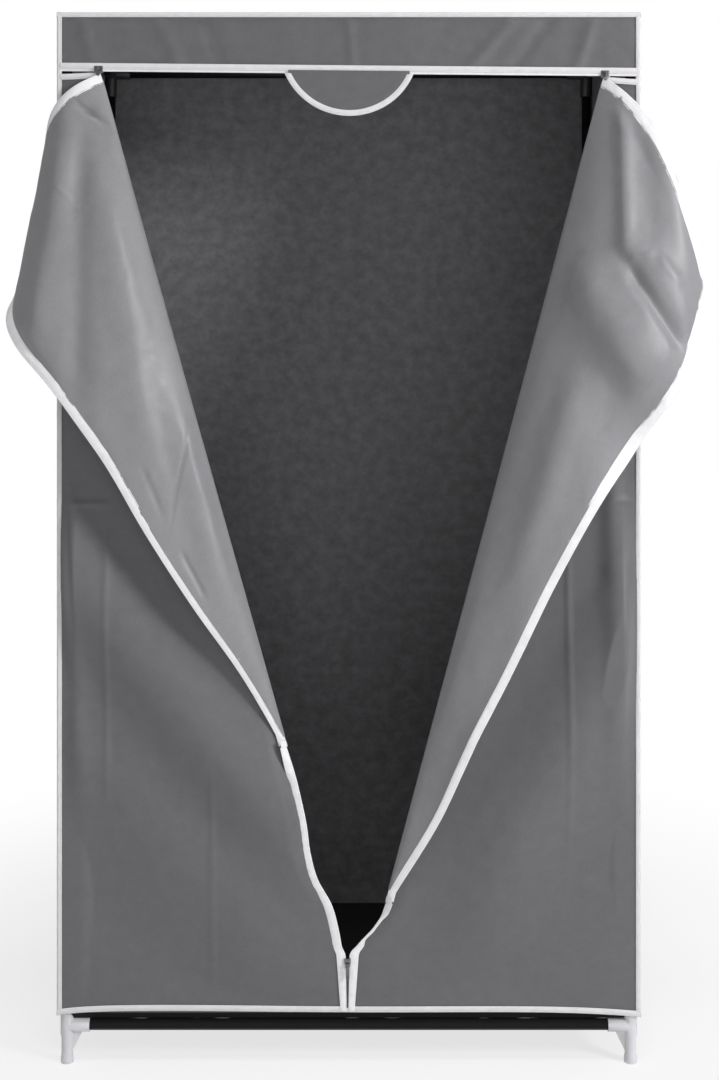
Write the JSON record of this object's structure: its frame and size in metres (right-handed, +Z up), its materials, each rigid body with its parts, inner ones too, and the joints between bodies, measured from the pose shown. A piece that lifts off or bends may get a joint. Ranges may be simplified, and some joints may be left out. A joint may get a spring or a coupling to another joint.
{
  "type": "portable fabric wardrobe",
  "caption": "Tall grey non-woven cloth wardrobe over a steel tube frame, with white bindings and feet, its zipped front open, both flaps folded outward and a round tab at the top.",
  "frame": {"origin": "middle of the whole footprint, open flaps included, on the floor", "axes": "+Z up, +Y from the open front to the back, +X to the right as seen from the front"},
  "size_m": [1.0556, 0.5464, 1.6],
  "materials": {
    "cover_cloth": "matte",
    "flap_cloth": "matte",
    "base_cloth": "matte",
    "binding": "matte",
    "steel": "satin",
    "plastic": "matte",
    "zip_metal": "satin"
  },
  "bodies": {
    "root": {"foot_front_left": "plastic", "foot_front_right": "plastic", "foot_rear_left": "plastic", "foot_rear_right": "plastic", "lower_post_front_left": "steel", "lower_post_front_right": "steel", "lower_post_rear_left": "steel", "lower_post_rear_right": "steel", "post_coupler_front_left": "plastic", "post_coupler_front_right": "plastic", "post_coupler_rear_left": "plastic", "post_coupler_rear_right": "plastic", "upper_post_front_left": "steel", "upper_post_front_right": "steel", "upper_post_rear_left": "steel", "upper_post_rear_right": "steel", "top_corner_front_left": "plastic", "top_corner_front_right": "plastic", "top_corner_rear_left": "plastic", "top_corner_rear_right": "plastic", "top_rail_front": "steel", "top_rail_rear": "steel", "top_rail_left": "steel", "top_rail_right": "steel", "bottom_rail_front": "steel", "bottom_rail_rear": "steel", "bottom_rail_left": "steel", "bottom_rail_right": "steel", "rod_bracket_left": "plastic", "rod_bracket_right": "plastic", "hanging_rod": "steel", "base_shelf": "base_cloth", "roof_panel": "cover_cloth", "back_panel": "cover_cloth", "side_panel_left": "cover_cloth", "side_panel_right": "cover_cloth", "valance": "cover_cloth", "front_panel_left": "cover_cloth", "front_panel_right": "cover_cloth", "opening_tape_left": "binding", "opening_tape_right": "binding", "panel_top_tape_left": "binding", "panel_top_tape_right": "binding", "zip_coil": "binding", "edge_binding": "binding", "hem_binding": "binding", "valance_tape": "binding"},
    "left_flap": {"flap_left": "flap_cloth", "flap_tape_left": "binding"},
    "right_flap": {"flap_right": "flap_cloth", "flap_tape_right": "binding"},
    "tab": {"tab": "cover_cloth", "tab_binding": "binding"},
    "zip_slider": {"zip_slider": "zip_metal"},
    "zip_pull": {"zip_pull": "zip_metal"},
    "top_slider_left": {"top_slider_left": "zip_metal"},
    "top_pull_left": {"top_pull_left": "zip_metal"},
    "top_slider_right": {"top_slider_right": "zip_metal"},
    "top_pull_right": {"top_pull_right": "zip_metal"}
  },
  "joints": [
    {"name": "left_flap_fold", "type": "hinge", "parent": "root", "child": "left_flap", "pos_m": [-0.10607, -0.1843, 0.485], "axis": [-0.267, 0, 0.9637], "range_deg": [0, 165]},
    {"name": "right_flap_fold", "type": "hinge", "parent": "root", "child": "right_flap", "pos_m": [0.04193, -0.1843, 0.25], "axis": [-0.2552, 0, -0.9669], "range_deg": [0, 165]},
    {"name": "tab_lift", "type": "hinge", "parent": "root", "child": "tab", "pos_m": [-0.01307, -0.18851, 1.506], "axis": [-1, 0, 0.009], "range_deg": [0, 110]},
    {"name": "zip_slide", "type": "slide", "parent": "root", "child": "zip_slider", "axis": [0, 0, 1], "range_m": [-0.055, 0]},
    {"name": "zip_pull_swing", "type": "hinge", "parent": "zip_slider", "child": "zip_pull", "pos_m": [-0.01507, -0.1932, 0.155], "axis": [-1, 0, 0], "range_deg": [0, 150]},
    {"name": "top_zip_slide_left", "type": "slide", "parent": "root", "child": "top_slider_left", "axis": [1, 0, -0.009], "range_m": [0, 0.27]},
    {"name": "top_pull_swing_left", "type": "hinge", "parent": "top_slider_left", "child": "top_pull_left", "pos_m": [-0.39302, -0.19165, 1.51342], "axis": [-1, 0, 0.009], "range_deg": [0, 115]},
    {"name": "top_zip_slide_right", "type": "slide", "parent": "root", "child": "top_slider_right", "axis": [-1, 0, 0.009], "range_m": [0, 0.28]},
    {"name": "top_pull_swing_right", "type": "hinge", "parent": "top_slider_right", "child": "top_pull_right", "pos_m": [0.37595, -0.19165, 1.5065], "axis": [-1, 0, 0.009], "range_deg": [0, 115]}
  ]
}
